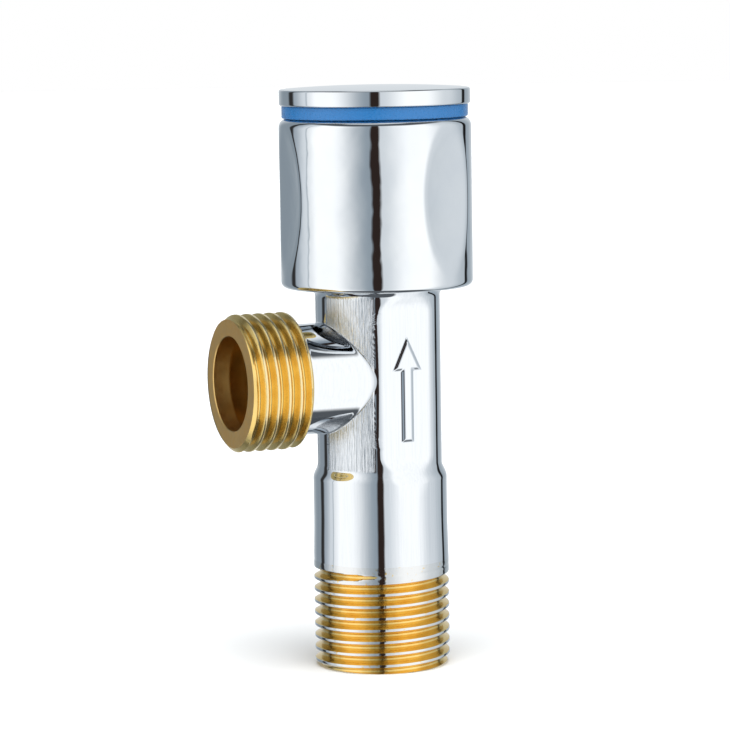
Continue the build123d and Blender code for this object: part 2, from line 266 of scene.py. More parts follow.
def chromePlate(name, look):
    # chrome over nickel on polished metal: a mirror, a little wavy from the polishing wheel
    material, tree, shader, place = newMaterial(name, "#E4E7EA", 1.0, look["roughness"])
    ripple = node(tree, "ShaderNodeTexNoise", {
        "Vector": place, "Scale": perMetre(look["ripple"]), "Detail": 2.0, "Roughness": 0.35})
    wave = node(tree, "ShaderNodeBump", {"Height": ripple[0], "Distance": look["rippleDepth"] / 1000})
    along = node(tree, "ShaderNodeMapping", {"Vector": place, "Scale": (1, 1, 0.06)})
    hairs = node(tree, "ShaderNodeTexNoise", {"Vector": along[0], "Scale": perMetre(0.6)})
    wave = node(tree, "ShaderNodeBump", {
        "Height": hairs[0], "Distance": look["hairDepth"] / 1000, "Normal": wave[0]})
    cloud = node(tree, "ShaderNodeTexNoise", {"Vector": place, "Scale": perMetre(6)})
    haze = node(tree, "ShaderNodeMapRange", {
        "Value": cloud[0], "From Min": 0.3, "From Max": 0.7,
        "To Min": look["roughness"] * 0.7, "To Max": look["roughness"] * 1.5})
    tint = node(tree, "ShaderNodeMix", {
        "Factor": cloud[0], 6: linear("#DDE1E6"), 7: linear("#EBEDEE")}, data_type="RGBA")
    tree.links.new(wave[0], shader.inputs["Normal"])
    tree.links.new(haze[0], shader.inputs["Roughness"])
    tree.links.new(tint[2], shader.inputs["Base Color"])
    return material


def forgedChrome(name, look):
    # chrome on forged brass: a mirror on the barrel and panels, belt-brushed upright lines on the waist
    material, tree, shader, place = newMaterial(name, "#E4E7EA", 1.0, look["roughness"])
    brushed = node(tree, "ShaderNodeAttribute", {}, attribute_name="worked")["Fac"]
    ripple = node(tree, "ShaderNodeTexNoise", {
        "Vector": place, "Scale": perMetre(look["ripple"]), "Detail": 2.0, "Roughness": 0.35})
    wave = node(tree, "ShaderNodeBump", {"Height": ripple[0], "Distance": look["rippleDepth"] / 1000})
    # belt lines are about 0.1 mm apart on a real waist; drawn 0.3 mm apart so that they show
    along = node(tree, "ShaderNodeMapping", {"Vector": place, "Scale": (1, 1, 0.03)})
    lines = node(tree, "ShaderNodeTexNoise", {
        "Vector": along[0], "Scale": perMetre(look["lineGap"]), "Detail": 3.0, "Roughness": 0.65})
    cutLines = node(tree, "ShaderNodeMath", {0: lines[0], 1: brushed}, operation="MULTIPLY")
    wave = node(tree, "ShaderNodeBump", {
        "Height": cutLines[0], "Distance": look["lineDepth"] / 1000, "Normal": wave[0]})
    haze = node(tree, "ShaderNodeMapRange", {
        "Value": brushed, "To Min": look["roughness"], "To Max": look["brushedRoughness"]})
    tint = node(tree, "ShaderNodeMix", {
        "Factor": lines[0], 6: linear("#D9DDE2"), 7: linear("#ECEEF0")}, data_type="RGBA")
    tree.links.new(wave[0], shader.inputs["Normal"])
    tree.links.new(haze[0], shader.inputs["Roughness"])
    tree.links.new(tint[2], shader.inputs["Base Color"])
    return material


def cutThread(name, look):
    # thread cut after plating: bare golden brass in the grooves, plate or burnish left on the crests
    material, tree, shader, place = newMaterial(name, "#D39A35", 1.0, look["roughness"])
    worked = node(tree, "ShaderNodeAttribute", {}, attribute_name="worked")["Fac"]
    chatter = node(tree, "ShaderNodeTexNoise", {"Vector": place, "Scale": perMetre(0.8), "Detail": 3.0})
    ragged = node(tree, "ShaderNodeMath", {0: chatter[0], 1: 0.9, 2: worked}, operation="MULTIPLY_ADD")
    bare = node(tree, "ShaderNodeMapRange", {
        "Value": ragged[0], "From Min": 0.56, "From Max": 0.68}, interpolation_type="SMOOTHSTEP")
    patches = node(tree, "ShaderNodeTexNoise", {"Vector": place, "Scale": perMetre(2.4)})
    brass = node(tree, "ShaderNodeMix", {
        "Factor": patches[0], 6: linear(look["shade"]), 7: linear(look["gold"])}, data_type="RGBA")
    tint = node(tree, "ShaderNodeMix", {
        "Factor": bare[0], 6: linear(look["crest"]), 7: brass[2]}, data_type="RGBA")
    gloss = node(tree, "ShaderNodeMapRange", {
        "Value": bare[0], "To Min": look["crestRoughness"], "To Max": look["roughness"]})
    marks = node(tree, "ShaderNodeBump", {"Height": chatter[0], "Distance": look["markDepth"] / 1000})
    tree.links.new(tint[2], shader.inputs["Base Color"])
    tree.links.new(gloss[0], shader.inputs["Roughness"])
    tree.links.new(marks[0], shader.inputs["Normal"])
    return material


def plainFinish(name, look):
    # an even finish with its own grain: two close tones, slightly uneven gloss and a fine relief
    material, tree, shader, place = newMaterial(
        name, look["colour"], look["metallic"], look["roughness"], **look.get("sockets", {}))
    grain = node(tree, "ShaderNodeTexNoise", {
        "Vector": place, "Scale": perMetre(look["grain"]), "Detail": 3.0})
    patches = node(tree, "ShaderNodeTexNoise", {"Vector": place, "Scale": perMetre(look["grain"] * 8)})
    tone = node(tree, "ShaderNodeMix", {
        "Factor": patches[0], 6: linear(look["colour"]), 7: linear(look["other"])}, data_type="RGBA")
    haze = node(tree, "ShaderNodeMapRange", {
        "Value": grain[0], "From Min": 0.3, "From Max": 0.7,
        "To Min": look["roughness"] * 0.8, "To Max": look["roughness"] * 1.2})
    relief = node(tree, "ShaderNodeBump", {"Height": grain[0], "Distance": look["depth"] / 1000})
    tree.links.new(tone[2], shader.inputs["Base Color"])
    tree.links.new(haze[0], shader.inputs["Roughness"])
    tree.links.new(relief[0], shader.inputs["Normal"])
    return material


# depths, grains and gaps are millimetres
finishes = {
    "body": forgedChrome("chrome_on_forged_brass", {
        "roughness": 0.03, "ripple": 5, "rippleDepth": 0.02,
        "lineGap": 0.3, "lineDepth": 0.13, "brushedRoughness": 0.26}),
    "handle": chromePlate("chrome_on_die_cast_zinc", {
        "roughness": 0.028, "ripple": 5, "rippleDepth": 0.11, "hairDepth": 0.0006}),
    "cap": chromePlate("chrome_on_moulded_abs", {
        "roughness": 0.025, "ripple": 11, "rippleDepth": 0.03, "hairDepth": 0.0004}),
    "inletThread": cutThread("brass_thread_cut_through_chrome", {
        "roughness": 0.17, "gold": "#F8DC92", "shade": "#E2B864",
        "crest": "#DFE0E0", "crestRoughness": 0.05, "markDepth": 0.02}),
    "outletThread": cutThread("brass_thread_burnished", {
        "roughness": 0.24, "gold": "#F9DE94", "shade": "#E8C06C",
        "crest": "#F1DCA8", "crestRoughness": 0.24, "markDepth": 0.02}),
    # turned brass: satin gold from the facing tool
    "face": plainFinish("turned_brass", {
        "colour": "#EDB968", "other": "#F5CA80", "metallic": 1.0, "roughness": 0.42, "grain": 0.5,
        "depth": 0.01}),
    # drilled brass: duller and darker, with the drill's marks
    "bore": plainFinish("drilled_brass", {
        "colour": "#DDB56C", "other": "#E8C684", "metallic": 1.0, "roughness": 0.36, "grain": 0.8,
        "depth": 0.01}),
    # moulded blue ABS: even, satin and strongly coloured
    "ring": plainFinish("moulded_blue_abs", {
        "colour": "#1F6BAA", "other": "#2773B2", "metallic": 0.0, "roughness": 0.3, "grain": 0.4,
        "depth": 0.001, "sockets": {"IOR": 1.53}}),
    # lathe-turned brass inside: clean bright gold
    "turned": plainFinish("lathe_turned_brass", {
        "colour": "#C79A48", "other": "#DDB469", "metallic": 1.0, "roughness": 0.24, "grain": 0.5,
        "depth": 0.008}),
    # pressed vulcanised fibre: matt red-brown with a felted grain
    "fibre": plainFinish("pressed_red_fibre", {
        "colour": "#7E3B2C", "other": "#935040", "metallic": 0.0, "roughness": 0.75, "grain": 0.25,
        "depth": 0.03}),
    # moulded nitrile rubber: black with a soft sheen
    "rubber": plainFinish("moulded_nitrile_rubber", {
        "colour": "#16171A", "other": "#212226", "metallic": 0.0, "roughness": 0.55, "grain": 0.4,
        "depth": 0.008, "sockets": {"IOR": 1.52}}),
    # stamped stainless steel: grey with rolling marks
    "steel": plainFinish("stamped_stainless_steel", {
        "colour": "#A9ABAE", "other": "#BFC1C3", "metallic": 1.0, "roughness": 0.28, "grain": 0.4,
        "depth": 0.006}),
    # lapped alumina ceramic: warm white, almost glassy
    "ceramic": plainFinish("lapped_alumina_ceramic", {
        "colour": "#EFEDE6", "other": "#F6F4EF", "metallic": 0.0, "roughness": 0.14, "grain": 0.3,
        "depth": 0.002, "sockets": {"IOR": 1.76}}),
    # moulded acetal: milky white with a waxy shine
    "acetal": plainFinish("moulded_white_acetal", {
        "colour": "#ECEBE4", "other": "#F3F2EE", "metallic": 0.0, "roughness": 0.38, "grain": 0.5,
        "depth": 0.006, "sockets": {"IOR": 1.48}}),
}
innerFinishes = {
    "turned_brass": "turned", "fibre_gasket": "fibre", "black_rubber": "rubber", "stainless": "steel",
    "white_ceramic": "ceramic", "white_acetal": "acetal", "chromed_brass": "body",
    "chromed_zinc": "handle", "chromed_cap": "cap", "blue_plastic": "ring",
}
for subpart in frame["record"]["subparts"]:
    shown = frame["nodes"][subpart["node"]]
    shown.data.materials.clear()
    shown.data.materials.append(finishes[innerFinishes[subpart["material_slot"]]])
print("finishes ready")


# Valve body: one closed skin for the forging, both threads and the waterways

body = {
    "columns": 248,
    "barrel": 10.22, "waist": 9.5, "head": bodyHigh[0],
    "shoulder": (28.9, 31.2),
    "flare": (56.8, 60.4),
    "panelDepth": 8.5, "panelTurn": 6.5, "panelEnds": (32.4, 55.4), "panelRamp": 24, "panelBend": 0.4,
    "panelEdge": 0.35, "panelHalfSpan": 26.5,   # degrees from the panel's middle to its edge
    "inletThread": 15.5, "inletRunOut": 14.96, "inletFade": 0.35, "inletStart": 0.04, "plateLeft": 0.045,
    "taper": 9,   # length over which the thread's crest widens to the barrel
    "outletThread": 9.5, "outletChamfer": 0.35, "outletStart": 0.3,   # thread starts are shares of a turn
    "threadMargin": 0.9,
    "neck": 8.4, "neckEdge": 0.3,
    "neckFillet": [(0, 0.8), (0.02, 0.35), (0.12, 0.1), (0.32, 0)],   # past the thread, beyond the neck
    "windowReach": 10.2, "windowRows": 46, "windowSpan": 78, "holeSpan": 62,
    "inletBore": mounts["inlet_bore"]["dims"]["r_mm"],
    "outletBore": mounts["outlet_bore"]["dims"]["r_mm"],
    "outletBoreDepth": mounts["outlet_bore"]["dims"]["length_mm"],
    "outletPort": 6.2, "boreRidge": (2.35, 3.0), "ridgeHeight": 0.06,
    "seat": (34.0, 37.0), "seatPort": 5.0, "inletChamfer": 0.5, "inletBoreRow": 12.0,
    "chamber": 7.6, "chamberTop": 60.8, "holeHeights": (37.3, 51.9), "overHole": 54.0, "headwork": 10.0,
    "brushedSpan": (11, 62.5), "brushedHeights": (30.6, 57.5),   # degrees from the outlet, heights
}


def crowdedAngles(count, edges, width, boost):
    # column angles, closer together near the given edges
    fine = np.linspace(-180, 180, 7201)
    weight = np.ones_like(fine)
    for edge in edges:
        weight += boost * np.exp(-((fine - edge) / width) ** 2)
    total = np.concatenate([[0], np.cumsum((weight[1:] + weight[:-1]) / 2)])
    return np.interp(np.arange(count) / count * total[-1], total, fine)


def panelDistance(height):
    # how far the flat panels stand from the axis; each end climbs out on a gentle ramp
    low, high = body["panelEnds"]
    into = np.maximum(low - height, height - high)
    climb = into * math.tan(math.radians(body["panelRamp"]))
    return body["panelDepth"] + softMax(climb, np.zeros_like(climb), body["panelBend"])


def bodyProfile(height):
    taper = ease((height - body["inletThread"] + 1) / body["taper"])
    radius = crestRadius + (body["barrel"] - crestRadius) * taper
    low, high = body["shoulder"]
    radius = radius + (body["waist"] - body["barrel"]) * ease((height - low) / (high - low))
    low, high = body["flare"]
    return radius + (body["head"] - body["waist"]) * ease((height - low) / (high - low))


def bodyRadius(angle, height):
    fromPanel = angle - math.radians(body["panelTurn"])
    flat = panelDistance(height) / np.maximum(np.abs(np.sin(fromPanel)), 0.05)
    return softMin(bodyProfile(height), flat, body["panelEdge"])


def brushedAt(angle, height):
    low, high = body["brushedSpan"]
    side = np.abs(np.degrees(angle))
    across = ease((side - low) / 1.2) * ease((high - side) / 2.5)
    low, high = body["brushedHeights"]
    return across * ease((height - low) / 0.4) * ease((high - height) / 0.8)


def upright(angle, height, radius):
    return np.stack(np.broadcast_arrays(-np.cos(angle) * radius, -np.sin(angle) * radius, height), axis=-1)


def sideways(angle, inward, radius):
    return np.stack(np.broadcast_arrays(
        inward - outletReach, -np.sin(angle) * radius, outletHeight + np.cos(angle) * radius), axis=-1)


def inletRadius(angle, height):
    base = bodyProfile(height)
    cut = threadCut(angle, height, body["inletStart"], body["inletRunOut"], body["inletFade"])
    radius = softMin(base - cut, thread["faceRadius"] + height, 0.12)
    worked = np.clip((base - radius - body["plateLeft"]) / 0.2, 0, 1)
    return radius, worked


def outletRadius(angle, inward):
    length = body["outletThread"]
    # the groove runs right through, so its last one lies far past the thread
    cut = threadCut(angle, inward, body["outletStart"], length + 9, 1.0)
    radius = softMin(crestRadius - cut, thread["faceRadius"] + inward, 0.12)
    back = crestRadius + length - body["outletChamfer"] - inward
    radius = softMin(radius, back, 0.1)
    return radius, np.clip((crestRadius - radius) / 0.2, 0, 1)


def onSurface(points, distance):
    # slides points onto the place where distance is zero
    step = 1e-3
    for _ in range(10):
        here = distance(points)
        slope = np.stack([(distance(points + step * axis) - here) / step for axis in np.eye(3)], axis=-1)
        points = points - slope * (here / np.maximum((slope ** 2).sum(-1), 0.2))[:, None]
    return points


def outerDistance(points):
    x, y, z = points.T
    fromBody = np.hypot(x, y) - bodyRadius(np.arctan2(-y, -x), z)
    fromNeck = np.hypot(y, z - outletHeight) - body["neck"]
    return softMin(fromBody, fromNeck, body["neckEdge"])


def windowLoop(grid, rows, columns):
    # the grid's points round a window, from below its middle and clockwise seen from outside the outlet
    (low, high), (left, right) = rows, columns
    middle = (left + right) // 2
    loop = [(low, c) for c in range(middle, left, -1)]
    loop += [(r, left) for r in range(low, high)]
    loop += [(high, c) for c in range(left, right)]
    loop += [(r, right) for r in range(high, low, -1)]
    loop += [(low, c) for c in range(right, middle, -1)]
    return np.array([grid[r, c] for r, c in loop])


def windowAngles(angles, heights, rows, columns):
    # the outlet angle that each point of a window's loop leads to
    (low, high), (left, right) = rows, columns
    middle = (left + right) // 2
    halfHeight = (heights[high] - heights[low]) / 2
    tall = (heights - (heights[low] + heights[high]) / 2) / halfHeight * 45
    wide = angles / angles[right] * 45
    around = [-180 - wide[c] for c in range(middle, left, -1)]
    around += [-90 + tall[r] for r in range(low, high)]
    around += [wide[c] for c in range(left, right)]
    around += [90 - tall[r] for r in range(high, low, -1)]
    around += [180 - wide[c] for c in range(right, middle, -1)]
    return np.radians(np.array(around))


def stations(low, high, count):
    return list(np.linspace(low, high, count + 1)[:-1])


panelEdges = [face + body["panelTurn"] + side for face in (-90, 90)
              for side in (-body["panelHalfSpan"], body["panelHalfSpan"])]
angles = np.radians(crowdedAngles(body["columns"], panelEdges, 3.5, 3.0))
middle = int(np.argmin(np.abs(angles)))
angles = angles - angles[middle]
halfWindow = int(np.searchsorted(angles, math.radians(body["windowSpan"]))) - middle
windowColumns = (middle - halfWindow, middle + halfWindow)
halfHole = int(np.searchsorted(angles, math.radians(body["holeSpan"]))) - middle
holeColumns = (middle - halfHole, middle + halfHole)

threadTop = body["inletThread"] + body["threadMargin"]
windowLow, windowHigh = outletHeight - body["windowReach"], outletHeight + body["windowReach"]
heights = stations(threadTop, 28.7, 12) + stations(28.7, 32.8, 30) + stations(32.8, windowLow, 3)
lowRow = len(heights)
heights += stations(windowLow, windowHigh, body["windowRows"])
highRow = len(heights)
heights += stations(windowHigh, body["flare"][1], 32) + stations(body["flare"][1], bodyHigh[2], 3)
heights = np.array(heights + [bodyHigh[2]])

shell = newShell()
zoneFinishes = ["body", "inletThread", "outletThread", "face", "bore"]
bodyZone, inletZone, outletZone, faceZone, boreZone = range(5)
inletEnds = helixRows(shell, angles, 0, threadTop, body["inletStart"], upright, inletRadius, inletZone)
grid = np.zeros((len(heights), len(angles)), int)
grid[0] = inletEnds[1]
for row, height in enumerate(heights[1:], 1):
    grid[row] = addPoints(shell, upright(angles, height, bodyRadius(angles, height)),
                          brushedAt(angles, height))
hole = (lowRow, highRow, *windowColumns)
skinGrid(shell, grid, bodyZone, hole)

# outlet: spokes from the window to the neck, which follow the edge where neck and waist meet
turnsTo = windowAngles(angles, heights, (lowRow, highRow), windowColumns)
loop = windowLoop(grid, (lowRow, highRow), windowColumns)
rimPoints = np.concatenate(shell["points"])[loop]
neckY = -body["neck"] * np.sin(turnsTo)
neckZ = outletHeight + body["neck"] * np.cos(turnsTo)
meetX = -np.sqrt(np.maximum(body["waist"] ** 2 - neckY ** 2, 0.1))
for _ in range(12):
    reach = bodyRadius(np.arctan2(-neckY, -meetX), neckZ)
    meetX = -np.sqrt(np.maximum(reach ** 2 - neckY ** 2, 0.1))
corner = np.stack([meetX, neckY, neckZ], axis=1)
spokes = [loop]
for share in 1 - (1 - np.linspace(0, 1, 24)[1:-1]) ** 1.7:
    points = onSurface(rimPoints * (1 - share) + corner * share, outerDistance)
    side = np.arctan2(-points[:, 1], -points[:, 0])
    onWaist = np.hypot(points[:, 1], points[:, 2] - outletHeight) > body["neck"] + 0.12
    spokes.append(addPoints(shell, points, brushedAt(side, points[:, 2]) * onWaist))
neckEnd = body["outletThread"] + body["threadMargin"]
for share in np.linspace(0, 1, 12) ** 1.6:
    alongNeck = corner.copy()
    alongNeck[:, 0] = corner[:, 0] * (1 - share) + share * (neckEnd - outletReach)
    spokes.append(addPoints(shell, onSurface(alongNeck, outerDistance)))
threadBack = body["outletThread"] - 0.03
outletEnds = helixRows(
    shell, turnsTo, 0, threadBack, body["outletStart"], sideways, outletRadius, outletZone)
neckStart = [addPoints(shell, sideways(turnsTo, body["outletThread"] + past, body["neck"] + beyond))
             for past, beyond in body["neckFillet"]]
skinAll(shell, [outletEnds[1]] + neckStart[:2], outletZone)
skinAll(shell, neckStart[1:] + spokes[::-1], bodyZone)

# inside of the outlet, to the hole that it makes in the chamber's wall
chamberHeights = np.array(
    [body["seat"][1]] + list(np.linspace(*body["holeHeights"], len(loop) // 2 - 2 * halfHole + 1))
    + [body["overHole"], body["chamberTop"]])
holeRows = (1, len(chamberHeights) - 3)
chamberGrid = np.array([
    addPoints(shell, upright(angles, height, body["chamber"])) for height in chamberHeights])
skinGrid(shell, chamberGrid, boreZone, (holeRows[0], holeRows[1], *holeColumns), inside=True)
holeLoop = windowLoop(chamberGrid, holeRows, holeColumns)
portAngles = windowAngles(angles, chamberHeights, holeRows, holeColumns)
holePoints = np.concatenate(shell["points"])[holeLoop]
portY = -body["outletPort"] * np.sin(portAngles)
portZ = outletHeight + body["outletPort"] * np.cos(portAngles)
saddle = np.stack([-np.sqrt(body["chamber"] ** 2 - portY ** 2), portY, portZ], axis=1)
inner = [holeLoop]
for share in (0.25, 0.5, 0.75):
    ring = holePoints * (1 - share) + saddle * share
    ring[:, :2] *= (body["chamber"] / np.hypot(ring[:, 0], ring[:, 1]))[:, None]
    inner.append(addPoints(shell, ring))
inner.append(addPoints(shell, saddle))
portEdge = body["outletBoreDepth"]
bore = body["outletBore"]
ridgeStart, ridgeEnd = body["boreRidge"]
ridge = bore - body["ridgeHeight"]
boreSteps = [(portEdge + 0.15, body["outletPort"]), (portEdge, body["outletPort"] + 0.15),
             (portEdge, bore - 0.1), (portEdge - 0.1, bore), (portEdge * 0.6, bore),
             (ridgeEnd, bore), (ridgeEnd - 0.15, ridge), (ridgeStart + 0.15, ridge), (ridgeStart, bore),
             (0.12, bore)]
faceSteps = [(0.0, bore + 0.12), (0.0, bore + 0.3), (0.0, thread["faceRadius"] - 0.12)]
deepRings = []
for share in np.linspace(0, 1, 9)[1:]:
    # the columns turn from the hole's spacing to the thread's on the way out
    turn = portAngles + (turnsTo - portAngles) * share
    reach = -np.sqrt(body["chamber"] ** 2 - (body["outletPort"] * np.sin(turn)) ** 2) + outletReach
    inward = reach + (boreSteps[0][0] - reach) * share
    deepRings.append(addPoints(shell, sideways(turn, inward, body["outletPort"])))
skinAll(shell, inner + deepRings, boreZone)
boreRings = [addPoints(shell, sideways(turnsTo, inward, radius)) for inward, radius in boreSteps[1:]]
faceRings = [addPoints(shell, sideways(turnsTo, inward, radius)) for inward, radius in faceSteps]
skinAll(shell, deepRings + boreRings + faceRings[:1], boreZone)
skinAll(shell, faceRings + outletEnds[:1], faceZone)

# head, chamber, seat and inlet bore
bottom = addPoints(shell, upright(angles, 0, body["inletBore"] + body["inletChamfer"]))
innerSteps = [(body["headwork"], bodyHigh[2]), (body["headwork"], body["chamberTop"]),
              (body["chamber"] + 0.02, body["chamberTop"])]
headRings = [addPoints(shell, upright(angles, height, radius)) for radius, height in innerSteps]
skinAll(shell, [grid[-1]] + headRings + [chamberGrid[-1]], boreZone)
seatLow, seatHigh = body["seat"]
seatSteps = [(body["seatPort"], seatHigh), (body["seatPort"], seatLow), (body["inletBore"], seatLow),
             (body["inletBore"], body["inletBoreRow"]), (body["inletBore"], body["inletChamfer"])]
seatRings = [addPoints(shell, upright(angles, height, radius)) for radius, height in seatSteps]
skinAll(shell, [chamberGrid[0]] + seatRings + [bottom], boreZone)
skinAll(shell, [bottom, inletEnds[0]], faceZone)
finishPiece("valve_body_forging", shell, [finishes[name] for name in zoneFinishes],
            "valve", ["valve_body"], sharp=35)
print("valve body made:", len(shell["faces"]), "faces")


# Raised flow arrow on the front panel

arrow = {"centre": outletHeight - 1.6, "length": 15.5, "width": 4.5, "relief": 0.42,
         "headShare": 0.3, "shaftShare": 0.4, "softness": 0.62, "spacing": 0.1, "sunk": 0.04, "margin": 0.5}


def arrowInside(across, along):
    # distance to the arrow's outline, positive inside
    tip = arrow["length"] / 2
    headLength = arrow["length"] * arrow["headShare"]
    slope = math.atan2(arrow["width"] / 2, headLength)
    head = np.minimum((tip - along) * math.sin(slope) - np.abs(across) * math.cos(slope),
                      along - tip + headLength)
    shaft = np.minimum(arrow["width"] * arrow["shaftShare"] / 2 - np.abs(across), along + tip)
    shaft = np.minimum(shaft, tip - headLength / 2 - along)
    return softMax(head, shaft, 0.3)


shell = newShell()
halfWidth = arrow["width"] / 2 + arrow["margin"]
halfLength = arrow["length"] / 2 + arrow["margin"]
across = np.linspace(-halfWidth, halfWidth, int(2 * halfWidth / arrow["spacing"]))
along = np.linspace(-halfLength, halfLength, int(2 * halfLength / arrow["spacing"]))
wide, tall = np.meshgrid(across, along)
height = arrow["relief"] * ease((arrowInside(wide, tall) + arrow["softness"] * 0.6) / arrow["softness"] / 1.4)
turn = math.radians(body["panelTurn"])
sides = []
for proud in (height - arrow["sunk"], np.full_like(wide, -0.3)):
    out = body["panelDepth"] + proud
    points = np.stack([
        wide * math.cos(turn) + out * math.sin(turn), wide * math.sin(turn) - out * math.cos(turn),
        tall + arrow["centre"]], axis=-1)
    sides.append(addPoints(shell, points).reshape(wide.shape))
front, back = sides
for side, flip in ((front, False), (back, True)):
    quads = np.stack([side[:-1, :-1], side[:-1, 1:], side[1:, 1:], side[1:, :-1]], axis=-1).reshape(-1, 4)
    shell["faces"].extend((quads[:, ::-1] if flip else quads).tolist())
    shell["zones"].extend([0] * len(quads))
edges = [np.concatenate([s[0, :-1], s[:-1, -1], s[-1, :0:-1], s[:0:-1, 0]]) for s in (front, back)]
skin(shell, edges[1], edges[0])
finishPiece("flow_arrow", shell, [finishes["body"]], "valve", sharp=60)
print("flow arrow made")


# Handle: die-cast shell with three finger scallops

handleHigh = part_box("handle_shell")[1] * 1000
handle = {
    "columns": 480, "radius": 14.6, "bottom": 58.2, "top": handleHigh[2],
    "topRound": 1.4, "bottomRound": 0.9, "rows": 110,
    "scallopRadius": 55.0, "scallopDepth": 1.06, "scallopHeight": 72.0, "scallopEdge": 0.3,
    "scallops": (176, 56, -64),   # degrees anticlockwise from +X
    "skirt": 12.7, "recess": 12.6, "web": (78.4, 81.2), "hub": 7.4, "hubBottom": 77.2,
    "socketFlats": 10.6,
}


def handleProfile(height):
    low = handle["bottomRound"] - (height - handle["bottom"])
    high = handle["topRound"] - (handle["top"] - height)
    radius = handle["radius"]
    for into, corner in ((low, handle["bottomRound"]), (high, handle["topRound"])):
        radius = radius - (corner - np.sqrt(np.maximum(corner ** 2 - np.maximum(into, 0) ** 2, 0)))
    return radius


def handleRadius(angle, height):
    radius = np.full_like(angle, handleProfile(height))
    far = handle["radius"] - handle["scallopDepth"] + handle["scallopRadius"]
    for direction in handle["scallops"]:
        off = angle + math.pi - math.radians(direction)
        rise = height - handle["scallopHeight"]
        inside = handle["scallopRadius"] ** 2 - (far * np.sin(off)) ** 2 - rise ** 2
        hollow = far * np.cos(off) - np.sqrt(np.maximum(inside, 0))
        reached = (inside > 0) & (np.cos(off) > 0)
        radius = np.where(reached, softMin(radius, hollow, handle["scallopEdge"]), radius)
    return radius


around = np.radians(np.arange(handle["columns"]) * 360 / handle["columns"] - 180)
bottomTurn = handle["bottomRound"] * (1 - np.cos(np.linspace(0, math.pi / 2, 9)))
topTurn = handle["topRound"] * (1 - np.cos(np.linspace(0, math.pi / 2, 11)))
sideHeights = np.concatenate([
    handle["bottom"] + bottomTurn,
    np.linspace(handle["bottom"] + bottomTurn[-1], handle["top"] - topTurn[-1], handle["rows"])[1:-1],
    handle["top"] - topTurn[::-1]])
socket = handle["socketFlats"] / 2 / np.cos((around + math.pi / 6) % (math.pi / 3) - math.pi / 6)
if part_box("spline_insert")[1].x * 1000 < handle["socketFlats"] / 2 + 0.1:
    socket = np.roll(socket, handle["columns"] // 12)

shell = newShell()
rings = [addPoints(shell, upright(around, handle["bottom"], handle["skirt"] + 0.2))]
for height in sideHeights:
    rings.append(addPoints(shell, upright(around, height, handleRadius(around, height))))
webLow, webHigh = handle["web"]
for radius, height in (
    (handle["recess"] + 0.15, handle["top"]), (handle["recess"], handle["top"] - 0.15),
    (handle["recess"], webHigh), (socket + 0.1, webHigh), (socket, webHigh - 0.1),
    (socket, handle["hubBottom"]), (handle["hub"], handle["hubBottom"]), (handle["hub"], webLow),
    (handle["skirt"], webLow), (handle["skirt"], handle["bottom"] + 0.2),
):
    rings.append(addPoints(shell, upright(around, height, radius)))
skinAll(shell, rings + rings[:1])
finishPiece("handle_casting", shell, [finishes["handle"]], "handle", ["handle_shell"])
print("handle made:", len(shell["faces"]), "faces")


# Blue index ring under the cap

indexRing = {"radius": 14.13, "bore": 11.3, "height": 1.9, "skirt": 2.2, "round": 0.22}
ringBottom, ringTop = handle["top"], handle["top"] + indexRing["height"]
edge = indexRing["radius"] - indexRing["round"]
shell = newShell()
turned(shell, [
    (handle["recess"] - 0.02, ringBottom - indexRing["skirt"]), (handle["recess"] - 0.02, ringBottom),
    *rounded((edge, ringBottom + indexRing["round"]), indexRing["round"], -90, 0),
    *rounded((edge, ringTop - indexRing["round"]), indexRing["round"], 0, 90),
    (indexRing["bore"], ringTop), (indexRing["bore"], ringBottom - indexRing["skirt"]),
], around)
finishPiece("index_ring_moulding", shell, [finishes["ring"]], "handle", ["index_ring"])


# Chromed cap that plugs into the ring

cap = {"radius": 14.5, "height": 2.45, "crown": 0.45, "crownFlat": 2.0, "lowRound": 0.3, "topRound": 0.3,
       "plug": 11.25, "plugWall": 1.45, "plugDepth": 3.3, "groove": (2.4, 1.0), "grooveDepth": 1.1}
capTop = ringTop + cap["height"]
grooveLow, grooveHigh = (ringTop - down for down in cap["groove"])
grooveFloor = cap["plug"] - cap["grooveDepth"]
crownSpan = cap["radius"] - cap["topRound"] - cap["crownFlat"]
crownSteps = [(radius, capTop + cap["crown"] * (1 - ((radius - cap["crownFlat"]) / crownSpan) ** 2))
              for radius in (12.5, 10.5, 8.5, 6.5, 4.5, 3.0, 2.0)]
crownSteps.append((0.7, capTop + cap["crown"]))
shell = newShell()
turned(shell, [
    (0, ringTop), (cap["plug"] - cap["plugWall"], ringTop),
    (cap["plug"] - cap["plugWall"], ringTop - cap["plugDepth"]), (cap["plug"], ringTop - cap["plugDepth"]),
    (cap["plug"], grooveLow), (grooveFloor, grooveLow), (grooveFloor, grooveHigh), (cap["plug"], grooveHigh),
    (cap["plug"], ringTop),
    *rounded((cap["radius"] - cap["lowRound"], ringTop + cap["lowRound"]), cap["lowRound"], -90, 0),
    *rounded((cap["radius"] - cap["topRound"], capTop - cap["topRound"]), cap["topRound"], 0, 82),
    *crownSteps, (0, capTop + cap["crown"]),
], around, closed=False)
finishPiece("handle_cap_plate", shell, [finishes["cap"]], "handle", ["handle_cap"])
print("ring and cap made")


# Stage, light and camera

view = {"azimuth": 23.43, "position": (-200.6, -458.0, 103.1), "forward": (0.395, 0.912, -0.1134),
        "roll": -0.89, "lens": 162.5}
camera = bpy.data.objects.new("camera", bpy.data.cameras.new("camera"))
scene.collection.objects.link(camera)
camera.data.lens = view["lens"]
camera.data.sensor_width = 36
camera.data.clip_start = 0.01
camera.location = Vector(view["position"]) / 1000
aim = Vector(view["forward"]).to_track_quat("-Z", "Y")
camera.rotation_mode = "QUATERNION"
camera.rotation_quaternion = aim @ Quaternion((0, 0, 1), math.radians(view["roll"]))
scene.camera = camera

